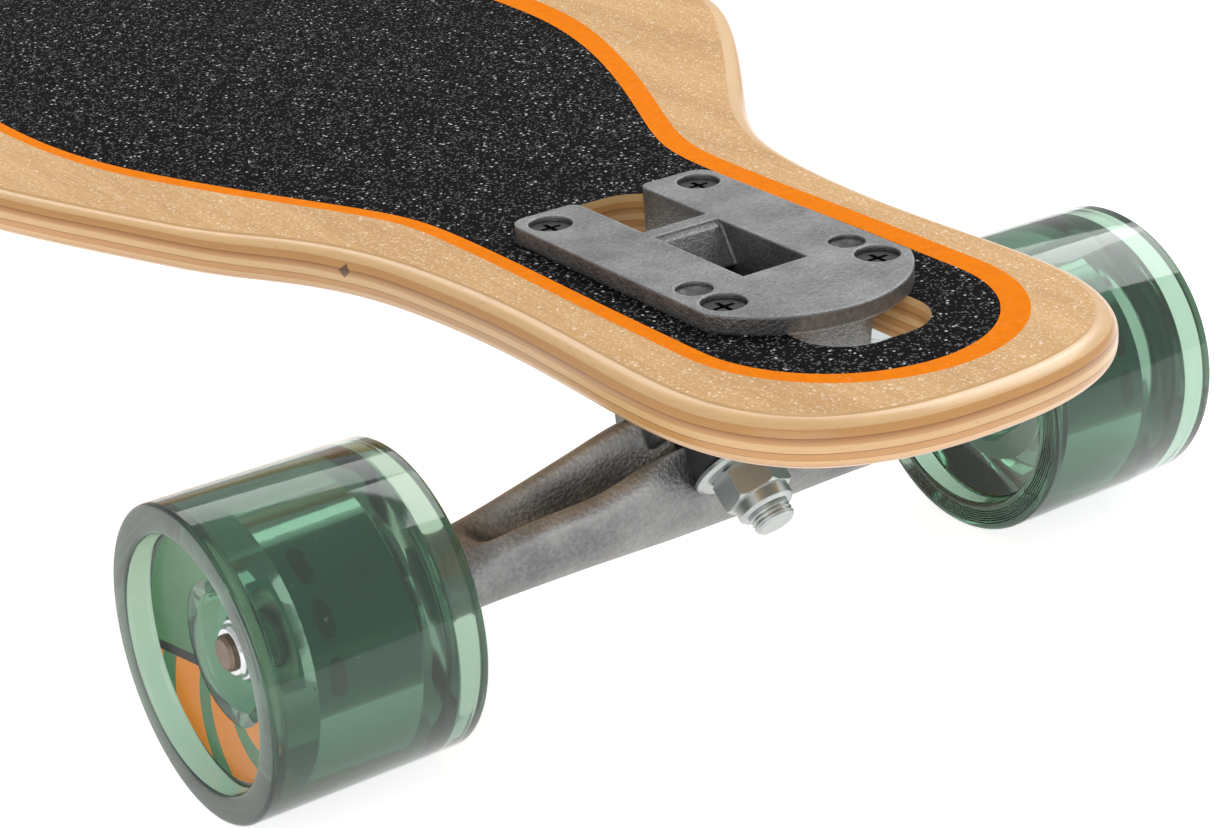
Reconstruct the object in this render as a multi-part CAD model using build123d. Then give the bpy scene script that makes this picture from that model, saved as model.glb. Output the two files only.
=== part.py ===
from build123d import *
import math
import os

# Drop-through longboard with two reverse-kingpin trucks.  Millimetres, +Z up, +X towards the
# front truck.  The origin is on the floor, under the middle of the deck.

# ---------------------------------------------------------------- driving dimensions: board
DECK_LENGTH = 1040.0
DECK_HALF_WIDTH = 114.5         # at the shoulders, the widest place
WAIST_HALF_WIDTH = 113.0        # halfway along
PLY_THICKNESS = 1.5
PLY_COUNT = 7
GRIP_THICKNESS = 0.4
GRIP_MARGIN = 4.0               # bare wood between the grit and the deck's edge
EDGE_ROUND = 3.2                # rounded edge, above and below
CONCAVE_START = 70.0            # half width of the flat middle
CONCAVE_RADIUS = 60.0
CONCAVE_ANGLE = 11.0            # slope of the raised rails, degrees
NOSE_REACH = 95.5               # from the middle of the truck's bolt pattern to the tip
NECK_HALF_WIDTH = 54.5
SHOULDER_INBOARD = 156.0        # the shoulders sit this far inboard of the bolt pattern
INSET_STEPS = 16                # points that carry an outline moved inward
SLOT_HALF_WIDTH = 16.0
SLOT_OUTER = 62.0               # slot ends, from the middle of the bolt pattern
SLOT_INNER = 46.5
SLOT_CORNER = 12.0

# ---------------------------------------------------------------- driving dimensions: truck
BOLT_LENGTHWISE = 63.5          # bolt pattern, along the board
BOLT_CROSSWISE = 41.28          # bolt pattern, across the board
SPARE_LENGTHWISE = 53.3         # the spare outer pair of holes, from the inner pair
SPARE_HEAD_RADIUS = 3.9
PATTERN_TO_AXLE = 8.6           # the axle sits this far inboard of the bolt pattern's middle
BASEPLATE_ABOVE_AXLE = 63.0     # top face of the baseplate
FLANGE_THICKNESS = 4.0
FLANGE_HALF_WIDTH = 27.5
FLANGE_INNER = 39.0             # inner end, from the middle of the bolt pattern
FLANGE_OUTER = 51.25
FLANGE_NOSE_RADIUS = 31.0
FLANGE_CORNER = 4.5
NOTCH_MOUTH_ROUND = 2.5
NOTCH_HALF_WIDTH = 8.8
NOTCH_DEPTH_ALONG = 26.0
WINDOW_INNER = -9.0
WINDOW_OUTER = 23.0
BODY_HALF_WIDTH = 14.0
BODY_INNER = 37.0
BODY_OUTER = 47.5
BODY_DEPTH = 13.0               # how far the body hangs below the flange
BODY_DRAFT = 5.0
WINDOW_FLOOR = 3.5
RAMP_LENGTH = 7.5               # sloping lump of casting at the window's inner end
RAMP_DEPTH = 9.0

STEER_ANGLE = 50.0              # steering axis, from horizontal
RING_X = 3.4                    # centre of the hanger's ring, from the axle
RING_Z = 23.0
KINGPIN_RADIUS = 4.76
RING_RADIUS = 17.5
RING_HALF_THICKNESS = 6.5
RING_SEAT_DEPTH = 3.0
RING_HOLE_RADIUS = 8.0
BUSHING_RADIUS = 12.0
BUSHING_TIP_RADIUS = 9.6        # small end of the roadside cone
BUSHING_HEIGHT = 14.5
ROADSIDE_HEIGHT = 13.5
BUSHING_CLEARANCE = 0.45
WASHER_THICKNESS = 2.0
BOARDSIDE_WASHER_RADIUS = 13.0
ROADSIDE_WASHER_RADIUS = 11.5
SEAT_WEB = 8.0                  # metal between the seat and the kingpin's head
KINGPIN_HEAD_FLATS = 14.3
KINGPIN_HEAD_HEIGHT = 6.0
NUT_HEX_HEIGHT = 7.6
NUT_COLLAR_HEIGHT = 3.6
NUT_COLLAR_RADIUS = 6.75
KINGPIN_PROUD = 3.8             # thread showing past the nut

NOSE_RADIUS = 5.0               # pivot nose
NOSE_TIP = 37.0                 # end of the nose, from the ring centre
CUP_WALL = 2.5
CUP_MOUTH = 31.0
HOUSING_WALL = 2.2
LEG_HALF_WIDTH = 5.0            # web that carries the pivot housing
PIVOT_CLEARANCE = 0.05

HANGER_HALF_LENGTH = 90.0
HANGER_END_RADIUS = 9.2
HANGER_MID_RADIUS = 10.0
AXLE_RADIUS = 4.0
AXLE_HALF_LENGTH = 123.0

MOUNT_BOLT_RADIUS = 2.5
MOUNT_HEAD_RADIUS = 4.8
MOUNT_HEAD_SINK = 1.0           # the heads lie this far below the flange's face
MOUNT_HOLE_CLEARANCE = 0.25
MOUNT_NUT_FLATS = 8.0
MOUNT_NUT_HEIGHT = 5.0
MOUNT_BOLT_PROUD = 2.0

# ---------------------------------------------------------------- driving dimensions: wheel
WHEEL_RADIUS = 35.0
WHEEL_WIDTH = 51.0
WHEEL_OUTER_RECESS = 15.7       # from the wheel's outer face to the bearing
LIP_RADIUS = 28.3
LIP_ROUND = 0.9
LIP_WALL_DEPTH = 5.5
DISH_RADIUS = 16.0              # inner edge of the printed dish
DISH_DEPTH = 2.7
HUB_MOUTH_RADIUS = 12.6
CORE_RADIUS = 20.0
CORE_POCKETS = 12
CORE_POCKET_LENGTH = 7.5
CORE_POCKET_WIDTH = 3.8
CORE_POCKET_DEPTH = 5.0
CORE_BORE_STEP = 1.5            # shoulder that the outer rings press against
BEARING_RADIUS = 11.0
BEARING_WIDTH = 7.0
BALL_RADIUS = 1.984
BALL_PITCH_RADIUS = 7.5
BALL_COUNT = 7
RACE_CLEARANCE = 0.05
INNER_RING_RADIUS = 6.1
OUTER_RING_BORE = 8.9
SHIELD_THICKNESS = 0.3
SPACER_LENGTH = 10.0
SPACER_WALL = 1.2
SPEED_WASHER_THICKNESS = 1.0
SPEED_WASHER_RADIUS = 5.75
AXLE_NUT_FLATS = 12.7
AXLE_NUT_HEIGHT = 5.5

# ---------------------------------------------------------------- worked-out places
deck_thickness = PLY_THICKNESS * PLY_COUNT
axle_z = WHEEL_RADIUS
baseplate_top = BASEPLATE_ABOVE_AXLE
flange_bottom = baseplate_top - FLANGE_THICKNESS
deck_top = axle_z + flange_bottom - GRIP_THICKNESS
pattern_x = DECK_LENGTH / 2 - NOSE_REACH
axle_x = pattern_x - PATTERN_TO_AXLE
bearing_stack = 2 * BEARING_WIDTH + SPACER_LENGTH
stack_inner_y = HANGER_HALF_LENGTH + SPEED_WASHER_THICKNESS
stack_outer_y = stack_inner_y + bearing_stack
wheel_outer_y = stack_outer_y + WHEEL_OUTER_RECESS
wheel_mid_y = wheel_outer_y - WHEEL_WIDTH / 2
bushing_start = RING_HALF_THICKNESS - RING_SEAT_DEPTH
boardside_end = bushing_start + BUSHING_HEIGHT
seat_distance = boardside_end + WASHER_THICKNESS
roadside_end = bushing_start + ROADSIDE_HEIGHT
nut_start = roadside_end + WASHER_THICKNESS
nut_end = nut_start + NUT_HEX_HEIGHT + NUT_COLLAR_HEIGHT
head_start = seat_distance + SEAT_WEB
cup_radius = NOSE_RADIUS + CUP_WALL
housing_radius = cup_radius + HOUSING_WALL


# ---------------------------------------------------------------- helpers
def turned(profile):
    """Solid of revolution about Z from (radius, height) corners."""
    face = make_face(Polyline(*profile, close=True))
    return revolve(Plane.XZ * face, Axis.Z)


def tube(outer, inner, low, high):
    """Plain tube about Z."""
    return turned([(inner, low), (outer, low), (outer, high), (inner, high)])


def rod(radius, low, high):
    """Plain rod about Z."""
    return turned([(0, low), (radius, low), (radius, high), (0, high)])


def hexagon(flats, low, high):
    """Hexagonal prism about Z, sized across its flats."""
    outline = RegularPolygon(flats / math.sqrt(3), 6)
    return extrude(Pos(0, 0, low) * outline, high - low)


def side_block(points, half_width):
    """Prism from (x, z) corners, reaching half_width to each side of the middle plane."""
    face = make_face(Polyline(*points, close=True))
    return extrude(Plane.XZ * face, half_width, both=True)


def group(solids):
    """Several separate solids kept together in one node."""
    return Compound(children=list(solids))


def write(node, shape):
    export_step(shape, "parts/" + node + ".step")


# ---------------------------------------------------------------- deck
def nose_points():
    """Points along one quarter of the deck's outline, from the tip back to the shoulder."""
    tip = DECK_LENGTH / 2
    flank = DECK_HALF_WIDTH - NECK_HALF_WIDTH
    return [
        (tip, 0),
        (tip - 3, 24),
        (tip - 13, 42),
        (tip - 31.5, NECK_HALF_WIDTH - 2.2),
        (tip - 53.5, NECK_HALF_WIDTH),
        (tip - 90.5, NECK_HALF_WIDTH - 1),
        (pattern_x - 30, NECK_HALF_WIDTH + 0.8),
        (pattern_x - 60, NECK_HALF_WIDTH + 0.125 * flank),
        (pattern_x - 95, NECK_HALF_WIDTH + 0.475 * flank),
        (pattern_x - 125, NECK_HALF_WIDTH + 0.81 * flank),
        (pattern_x - SHOULDER_INBOARD, DECK_HALF_WIDTH),
    ]


def smooth_curve(points, leaving, arriving):
    """Smooth curve through the points, with its direction given at both ends."""
    return Spline(*points, tangents=[leaving, arriving], tangent_scalars=[1, 1])


def moved_inward(curve, inset):
    """A quarter-outline curve moved square to itself, towards the middle of the board."""
    points = []
    for step in range(INSET_STEPS + 1):
        share = step / INSET_STEPS
        along = curve % share
        points.append(curve @ share + inset * Vector(-along.Y, along.X))
    return smooth_curve(points, curve % 0, curve % 1)


def deck_outline(inset=0.0):
    """Closed outline of the deck, or of a smaller shape that keeps this far inside it."""
    points = nose_points()
    nose = smooth_curve(points, (0, 1), (-1, 0))
    middle = smooth_curve([points[-1], (0, WAIST_HALF_WIDTH)], (-1, 0), (-1, 0))
    quarter = [moved_inward(curve, inset) for curve in (nose, middle)] if inset else [nose, middle]
    half = quarter + [edge.mirror(Plane.YZ) for edge in quarter]
    whole = half + [edge.mirror(Plane.XZ) for edge in half]
    return make_face(Wire.combine([edge for item in whole for edge in item.edges()])[0])


def concave_curve(drop):
    """The deck's top curve across its width, moved down square to itself by drop."""
    angle = math.radians(CONCAVE_ANGLE)
    radius = CONCAVE_RADIUS + drop
    centre_z = deck_top + CONCAVE_RADIUS
    arc_end = (CONCAVE_START + radius * math.sin(angle), centre_z - radius * math.cos(angle))
    arc_mid = (
        CONCAVE_START + radius * math.sin(angle / 2),
        centre_z - radius * math.cos(angle / 2),
    )
    reach = DECK_HALF_WIDTH + 10.0
    rise = (reach - arc_end[0]) * math.tan(angle)
    flat_end = (CONCAVE_START, deck_top - drop)
    rail_end = (reach, arc_end[1] + rise)
    return flat_end, arc_mid, arc_end, rail_end


def concave_slab(upper_drop, lower_drop):
    """Slab between two depths below the deck's top surface, running the board's length."""
    edges = []
    ends = []
    for drop in (upper_drop, lower_drop):
        flat_end, arc_mid, arc_end, rail_end = concave_curve(drop)
        for side in (1, -1):
            points = [(side * y, z) for y, z in (flat_end, arc_mid, arc_end, rail_end)]
            edges.append(ThreePointArc(*points[:3]))
            edges.append(Line(points[2], points[3]))
        edges.append(Line(flat_end, (-flat_end[0], flat_end[1])))
        ends.append(rail_end)
    for side in (1, -1):
        edges.append(Line((side * ends[0][0], ends[0][1]), (side * ends[1][0], ends[1][1])))
    face = make_face(Wire.combine([edge for item in edges for edge in item.edges()])[0])
    return extrude(Plane.YZ * face, DECK_LENGTH, both=True)


def slot_outline():
    """One truck slot, in place for the front truck."""
    length = SLOT_OUTER + SLOT_INNER
    slot = RectangleRounded(length, 2 * SLOT_HALF_WIDTH, SLOT_CORNER)
    return Pos(pattern_x + (SLOT_OUTER - SLOT_INNER) / 2, 0) * slot


def bolt_places(lengthwise=BOLT_LENGTHWISE):
    """Hole centres of one bolt pattern about its own middle."""
    return [
        (sx * lengthwise / 2, sy * BOLT_CROSSWISE / 2)
        for sx in (1, -1)
        for sy in (1, -1)
    ]


def deck_openings():
    """Outlines of the two slots and the eight bolt holes."""
    hole = Circle(MOUNT_BOLT_RADIUS + MOUNT_HOLE_CLEARANCE)
    front = [slot_outline()] + [Pos(pattern_x + x, y) * hole for x, y in bolt_places()]
    return front + [Rot(0, 0, 180) * outline for outline in front]


def upright_column(outline):
    """Outline raised into a column that passes right through the deck."""
    depth = 4 * deck_thickness
    return extrude(Pos(0, 0, deck_top - depth) * outline, 2 * depth)


def deck_parts():
    """Top ply, bonded inner plies, bottom ply and grip coat."""
    outline = deck_outline()
    blank = upright_column(outline) & concave_slab(0, deck_thickness)
    rims = [edge for edge in blank.edges() if edge.geom_type != GeomType.LINE]
    blank = fillet(rims, EDGE_ROUND)
    grip_outline = deck_outline(GRIP_MARGIN)
    for opening in deck_openings():
        blank -= upright_column(opening)
        grip_outline -= opening
    core_bottom = deck_thickness - PLY_THICKNESS
    return {
        "deck_top_ply": blank & concave_slab(0, PLY_THICKNESS),
        "deck_core": blank & concave_slab(PLY_THICKNESS, core_bottom),
        "deck_bottom_ply": blank & concave_slab(core_bottom, deck_thickness),
        "grip_coat": upright_column(grip_outline) & concave_slab(-GRIP_THICKNESS, 0),
    }


# ---------------------------------------------------------------- truck
# A truck is modelled about its axle: +X outboard, +Z up.  Pieces on the kingpin are turned
# about Z with the ring's centre at height 0, then laid along the kingpin by on_kingpin.
kingpin_plane = Plane(
    origin=(RING_X, 0, RING_Z),
    x_dir=(math.cos(math.radians(STEER_ANGLE)), 0, math.sin(math.radians(STEER_ANGLE))),
    z_dir=(math.sin(math.radians(STEER_ANGLE)), 0, -math.cos(math.radians(STEER_ANGLE))),
)
steer_plane = Plane(
    origin=(RING_X, 0, RING_Z),
    x_dir=(0, 1, 0),
    z_dir=(-math.cos(math.radians(STEER_ANGLE)), 0, -math.sin(math.radians(STEER_ANGLE))),
)


def on_kingpin(shape):
    return kingpin_plane.location * shape


def on_steer_axis(shape):
    return steer_plane.location * shape


def kingpin_point(along, up):
    """(x, z) of a point this far along the kingpin and up the steering axis."""
    place = kingpin_plane.from_local_coords(Vector(up, 0, along))
    return (place.X, place.Z)


def flange_outline():
    """The baseplate's flange seen from above, about the middle of the bolt pattern."""
    centre = FLANGE_OUTER - FLANGE_NOSE_RADIUS
    length = centre + FLANGE_INNER
    body = Pos(centre - length / 2, 0) * Rectangle(length, 2 * FLANGE_HALF_WIDTH)
    band = Pos(centre + FLANGE_NOSE_RADIUS / 2, 0) * Rectangle(
        FLANGE_NOSE_RADIUS, 2 * FLANGE_HALF_WIDTH
    )
    nose = (Pos(centre, 0) * Circle(FLANGE_NOSE_RADIUS)) & band
    outline = body + nose
    notch_middle = NOTCH_DEPTH_ALONG / 2 - FLANGE_INNER
    outline -= Pos(notch_middle, 0) * Rectangle(NOTCH_DEPTH_ALONG, 2 * NOTCH_HALF_WIDTH)
    corners = outline.vertices().group_by(Axis.X)[0]
    outline = fillet([v for v in corners if abs(v.Y) > 2 * NOTCH_HALF_WIDTH], FLANGE_CORNER)
    corners = outline.vertices().group_by(Axis.X)[0]
    return fillet([v for v in corners if abs(v.Y) < 1.5 * NOTCH_HALF_WIDTH], NOTCH_MOUTH_ROUND)


def screw_recess(head_radius, extra=0.0):
    """Shape of a countersunk screw's head and shank, head face at height 0, grown by extra."""
    head = head_radius + extra
    shank = MOUNT_BOLT_RADIUS + extra
    cone = head - shank
    return [(head, 0), (head, -0.4), (shank, -0.4 - cone)]


def ramp_profile():
    """Side view of the lump at the window's inner end."""
    low = baseplate_top - RAMP_DEPTH
    start = PATTERN_TO_AXLE + WINDOW_INNER - 1
    slope_start = start + RAMP_LENGTH / 3
    return [
        (start, baseplate_top - 0.5),
        (slope_start, baseplate_top - 1.2),
        (start + RAMP_LENGTH, low),
        (start, low),
    ]


def mounting_hole(head_radius):
    """Cutting shape of one countersunk hole, from the flange's top face down."""
    rim, lip, neck = screw_recess(head_radius, MOUNT_HOLE_CLEARANCE)
    deep = -FLANGE_THICKNESS - 1
    sink = -MOUNT_HEAD_SINK
    profile = [(0, 1), (rim[0], 1), (lip[0], sink + lip[1]), (neck[0], sink + neck[1])]
    return turned(profile + [(neck[0], deep), (0, deep)])


def seat_profile():
    """Side view of the cast body under the flange, from its back wall to the bushing's seat."""
    inner = PATTERN_TO_AXLE - BODY_INNER
    head_end = head_start + KINGPIN_HEAD_HEIGHT
    seat_top = kingpin_point(-seat_distance, BOARDSIDE_WASHER_RADIUS)
    return [
        (inner, flange_bottom + 1),
        (inner, kingpin_point(-head_end, -BOARDSIDE_WASHER_RADIUS / 2)[1]),
        kingpin_point(-head_start, -BOARDSIDE_WASHER_RADIUS),
        kingpin_point(-seat_distance, -BOARDSIDE_WASHER_RADIUS),
        seat_top,
        (seat_top[0] + SEAT_WEB, flange_bottom + 1),
    ]


def leg_profile():
    """Side view of the web that runs from the seat down to the pivot housing."""
    behind = housing_radius
    return [
        kingpin_point(-head_start, -BOARDSIDE_WASHER_RADIUS + 2),
        kingpin_point(-seat_distance - 2, -RING_RADIUS - 2),
        kingpin_point(-behind, -CUP_MOUTH),
        kingpin_point(-behind + 2, -NOSE_TIP),
        kingpin_point(-behind + 2, -RING_RADIUS - 4),
        kingpin_point(-seat_distance, -BOARDSIDE_WASHER_RADIUS),
    ]


def baseplate():
    """Cast baseplate: flange, hanging body, bushing seat and pivot housing."""
    plate = extrude(Pos(PATTERN_TO_AXLE, 0, flange_bottom) * flange_outline(), FLANGE_THICKNESS)
    boss_middle = PATTERN_TO_AXLE + BODY_OUTER - BODY_HALF_WIDTH
    block_length = BODY_OUTER - BODY_HALF_WIDTH + BODY_INNER
    plan = Pos(boss_middle - block_length / 2, 0) * Rectangle(block_length, 2 * BODY_HALF_WIDTH)
    plan += Pos(boss_middle, 0) * Circle(BODY_HALF_WIDTH)
    block = extrude(Pos(0, 0, flange_bottom) * plan, -BODY_DEPTH, taper=BODY_DRAFT)
    body = side_block(seat_profile(), BODY_HALF_WIDTH - 1.5)
    body += side_block(leg_profile(), LEG_HALF_WIDTH)
    seat = on_kingpin(rod(BOARDSIDE_WASHER_RADIUS, -head_start, -seat_distance))
    housing_end = NOSE_TIP + CUP_WALL + HOUSING_WALL
    housing = on_steer_axis(rod(housing_radius, CUP_MOUTH, housing_end))
    casting = plate + block + body + seat + housing

    notch_x = PATTERN_TO_AXLE - FLANGE_INNER
    notch_end = notch_x + NOTCH_DEPTH_ALONG
    drop = BASEPLATE_ABOVE_AXLE - BODY_DEPTH - 6
    notch = Box(NOTCH_DEPTH_ALONG + 20, 2 * NOTCH_HALF_WIDTH, 60, align=Align.MIN)
    casting -= Pos(notch_end - NOTCH_DEPTH_ALONG - 20, -NOTCH_HALF_WIDTH, drop) * notch
    window_length = WINDOW_OUTER - WINDOW_INNER
    window_low = flange_bottom - BODY_DEPTH + WINDOW_FLOOR
    window = Box(window_length, 2 * NOTCH_HALF_WIDTH, 60, align=Align.MIN)
    casting -= Pos(PATTERN_TO_AXLE + WINDOW_INNER, -NOTCH_HALF_WIDTH, window_low) * window
    bolt_way = Box(2 * NOTCH_HALF_WIDTH, 2 * NOTCH_HALF_WIDTH, 60)
    casting -= on_kingpin(Pos(0, 0, -head_start - 30) * bolt_way)
    casting -= on_kingpin(rod(KINGPIN_RADIUS + 0.1, -head_start - 5, -seat_distance + 5))
    casting -= on_steer_axis(cup_shape(cup_radius, CUP_WALL, CUP_MOUTH - 5))
    casting += side_block(ramp_profile(), NOTCH_HALF_WIDTH + 0.5)
    for x, y in bolt_places():
        casting -= Pos(PATTERN_TO_AXLE + x, y, baseplate_top) * mounting_hole(MOUNT_HEAD_RADIUS)
    spare_x = SPARE_LENGTHWISE - BOLT_LENGTHWISE / 2
    for side in (1, -1):
        place = Pos(PATTERN_TO_AXLE + spare_x, side * BOLT_CROSSWISE / 2, baseplate_top)
        casting -= place * mounting_hole(SPARE_HEAD_RADIUS)
    return casting


def cup_shape(radius, beyond, mouth):
    """Round-bottomed plug about Z, its bottom this far beyond the pivot nose's tip."""
    tip = NOSE_TIP + beyond
    shoulder = tip - radius
    outline = Polyline((0, tip), (0, mouth), (radius, mouth), (radius, shoulder))
    bottom = CenterArc((0, shoulder), radius, 0, 90)
    return revolve(Plane.XZ * make_face(outline + bottom), Axis.Z)


def pivot_cup():
    """Urethane liner between the housing and the hanger's pivot nose."""
    liner = cup_shape(cup_radius, CUP_WALL, CUP_MOUTH)
    hollow = cup_shape(NOSE_RADIUS + PIVOT_CLEARANCE, PIVOT_CLEARANCE, CUP_MOUTH - 5)
    return on_steer_axis(liner - hollow)


def kingpin():
    """Hex-headed bolt through the baseplate's seat, both bushings and the ring."""
    head = hexagon(KINGPIN_HEAD_FLATS, -head_start - KINGPIN_HEAD_HEIGHT, -head_start)
    tip = nut_end + KINGPIN_PROUD
    shank = turned([
        (0, -head_start - 1),
        (KINGPIN_RADIUS, -head_start - 1),
        (KINGPIN_RADIUS, tip - 0.6),
        (KINGPIN_RADIUS - 0.6, tip),
        (0, tip),
    ])
    return on_kingpin(head + shank)


def lock_nut(flats, bore, hex_height, collar_radius, collar_height):
    """Hexagon nut with a round locking collar, standing on height 0."""
    corner = flats / math.sqrt(3)
    rounding = turned([
        (0, 0),
        (corner - 0.8, 0),
        (corner + 0.1, 0.8),
        (corner + 0.1, hex_height - 0.8),
        (corner - 0.8, hex_height),
        (0, hex_height),
    ])
    nut = hexagon(flats, 0, hex_height) & rounding
    collar = turned([
        (0, hex_height - 0.5),
        (collar_radius, hex_height - 0.5),
        (collar_radius, hex_height + collar_height - 0.8),
        (collar_radius - 0.8, hex_height + collar_height),
        (0, hex_height + collar_height),
    ])
    return nut + collar - rod(bore, -1, hex_height + collar_height + 1)


def kingpin_nut():
    nut = lock_nut(
        KINGPIN_HEAD_FLATS, KINGPIN_RADIUS, NUT_HEX_HEIGHT, NUT_COLLAR_RADIUS, NUT_COLLAR_HEIGHT
    )
    return on_kingpin(Pos(0, 0, nut_start) * nut)


def boardside_bushing():
    """Barrel bushing between the baseplate's seat and the hanger's ring."""
    bore = KINGPIN_RADIUS + 0.25
    edge = BUSHING_RADIUS - 1.2
    middle = -(bushing_start + boardside_end) / 2
    return on_kingpin(turned([
        (bore, -boardside_end),
        (edge, -boardside_end),
        (BUSHING_RADIUS, -boardside_end + 2),
        (BUSHING_RADIUS, middle),
        (BUSHING_RADIUS, -bushing_start - 2),
        (edge, -bushing_start),
        (bore, -bushing_start),
    ]))


def roadside_bushing():
    """Cone bushing between the hanger's ring and the nut's cup washer."""
    bore = KINGPIN_RADIUS + 0.25
    return on_kingpin(turned([
        (bore, bushing_start),
        (BUSHING_RADIUS - 1, bushing_start),
        (BUSHING_RADIUS, bushing_start + 1.5),
        (BUSHING_RADIUS, bushing_start + 3.5),
        (BUSHING_TIP_RADIUS, roadside_end),
        (bore, roadside_end),
    ]))


def cup_washer(radius, bushing_side, face):
    """Washer whose rim bends 0.8 mm towards the bushing; face is the side that meets it."""
    away = -bushing_side
    outer = face + away * WASHER_THICKNESS
    bore = KINGPIN_RADIUS + 0.15
    return on_kingpin(turned([
        (bore, face),
        (radius - 1.6, face),
        (radius, face + away * 0.5),
        (radius, face + away * 1.4),
        (radius - 1.2, outer),
        (bore, outer),
    ]))


def on_ring(radius):
    """Clear space round the kingpin, wide enough for the ring to tip about the pivot axis."""
    deep = nut_end + 30
    well = rod(radius, bushing_start, deep)
    wide = rod(radius + 6, bushing_start + 5, deep)
    keep = Box(2 * radius + 20, 60, 2 * deep)
    wide = wide & (Pos(radius + 10 - 14.2, 0, 0) * keep)
    return well + wide


def wing_section(y, points):
    """Closed section of the hanger's wing on the plane across the board at y."""
    return Plane(origin=(0, y, 0), x_dir=(1, 0, 0), z_dir=(0, -1, 0)) * make_face(
        Polyline(*points, close=True)
    )


WING_SECTIONS = [
    # (distance from the middle, corners going round from the underside to the front,
    #  the ridge, the pocket, the top edge and the back)
    (0.0, [(0, -10), (10, -5), (13.5, 6), (13, 16), (6, 17), (1, 24), (-7, 18), (-9, -2)]),
    (17.0, [(0, -10), (10, -5), (13.5, 5), (14, 17), (6, 13), (2, 25), (-6, 18), (-9, -2)]),
    (35.0, [(0, -10), (9, -5), (11.5, 4), (12, 12.5), (4.5, 7), (-1, 19), (-6, 12), (-9, -3)]),
    (62.0, [(0, -9.5), (7, -6), (9, 2), (7.5, 8), (3, 7), (-4.5, 9.0), (-8, 4), (-8, -5)]),
]


def hanger():
    """Cast hanger: axle housing, ring, pivot nose and two hollowed wings."""
    half = [
        (0, 0),
        (HANGER_MID_RADIUS, 0),
        (HANGER_MID_RADIUS, 20),
        (HANGER_END_RADIUS + 0.3, 62),
        (HANGER_END_RADIUS, HANGER_HALF_LENGTH - 1),
        (HANGER_END_RADIUS - 1, HANGER_HALF_LENGTH),
        (0, HANGER_HALF_LENGTH),
    ]
    arm = turned(half)
    casting = Rot(-90, 0, 0) * arm + Rot(90, 0, 0) * arm
    for side in (1, -1):
        sections = [wing_section(side * y, points) for y, points in WING_SECTIONS]
        casting += loft(sections, ruled=True)
    casting += on_kingpin(rod(RING_RADIUS, -RING_HALF_THICKNESS, RING_HALF_THICKNESS))
    nose = cup_shape(NOSE_RADIUS, 0, RING_RADIUS - 3)
    root_end = CUP_MOUTH - 2
    root = turned([(0, 14), (NOSE_RADIUS + 4, 14), (NOSE_RADIUS, root_end), (0, root_end)])
    casting += on_steer_axis(nose + root)
    seat_radius = BUSHING_RADIUS + BUSHING_CLEARANCE
    casting -= on_kingpin(on_ring(seat_radius + 0.6))
    casting -= on_kingpin(rod(seat_radius, -seat_distance - 20, -bushing_start))
    casting -= on_kingpin(rod(RING_HOLE_RADIUS, -seat_distance, seat_distance))
    bore = rod(AXLE_RADIUS, -HANGER_HALF_LENGTH - 1, HANGER_HALF_LENGTH + 1)
    return casting - Rot(-90, 0, 0) * bore


def axle():
    """One steel rod through the hanger, threaded ends eased."""
    end = AXLE_HALF_LENGTH
    profile = [(0, -end), (AXLE_RADIUS - 0.7, -end), (AXLE_RADIUS, -end + 0.7)]
    profile += [(AXLE_RADIUS, end - 0.7), (AXLE_RADIUS - 0.7, end), (0, end)]
    return Rot(-90, 0, 0) * turned(profile)


def mounting_bolt():
    """Countersunk cross-recess bolt, head face at height 0."""
    length = FLANGE_THICKNESS + GRIP_THICKNESS + deck_thickness - MOUNT_HEAD_SINK
    end = -length - MOUNT_NUT_HEIGHT - MOUNT_BOLT_PROUD
    profile = [(0, 0)] + screw_recess(MOUNT_HEAD_RADIUS)
    profile += [(MOUNT_BOLT_RADIUS, end + 0.5), (MOUNT_BOLT_RADIUS - 0.5, end), (0, end)]
    bolt = turned(profile)
    for turn in (0, 90):
        bolt -= Rot(0, 0, turn) * Box(5.2, 1.1, 3.6)
    return bolt


def mounting_nut():
    """Lock nut under the deck, its upper face at height 0."""
    hex_height = MOUNT_NUT_HEIGHT * 0.7
    nut = lock_nut(
        MOUNT_NUT_FLATS, MOUNT_BOLT_RADIUS, hex_height,
        MOUNT_NUT_FLATS / 2 - 0.4, MOUNT_NUT_HEIGHT - hex_height,
    )
    return Rot(180, 0, 0) * nut


def on_pattern(shape, height):
    """Four copies on the bolt pattern, about the axle."""
    return [Pos(PATTERN_TO_AXLE + x, y, height) * shape for x, y in bolt_places()]


def truck_parts():
    """Every piece of a truck that belongs to the board or to the hanger, about the axle."""
    deck_bottom = flange_bottom - GRIP_THICKNESS - deck_thickness
    boardside_face = -boardside_end
    return {
        "baseplate": baseplate(),
        "pivot_cup": pivot_cup(),
        "kingpin": kingpin(),
        "kingpin_nut": kingpin_nut(),
        "boardside_bushing": boardside_bushing(),
        "roadside_bushing": roadside_bushing(),
        "boardside_washer": cup_washer(BOARDSIDE_WASHER_RADIUS, 1, boardside_face),
        "roadside_washer": cup_washer(ROADSIDE_WASHER_RADIUS, -1, roadside_end),
        "hanger": hanger(),
        "axle": axle(),
        "mounting_bolts": group(on_pattern(mounting_bolt(), baseplate_top - MOUNT_HEAD_SINK)),
        "mounting_nuts": group(on_pattern(mounting_nut(), deck_bottom)),
    }


# ---------------------------------------------------------------- wheel
# A wheel is turned about Z, +Z outboard, with height 0 in the middle of its width.
stack_low = stack_inner_y - wheel_mid_y
stack_high = stack_outer_y - wheel_mid_y
bearing_lows = (stack_low, stack_high - BEARING_WIDTH)


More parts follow.
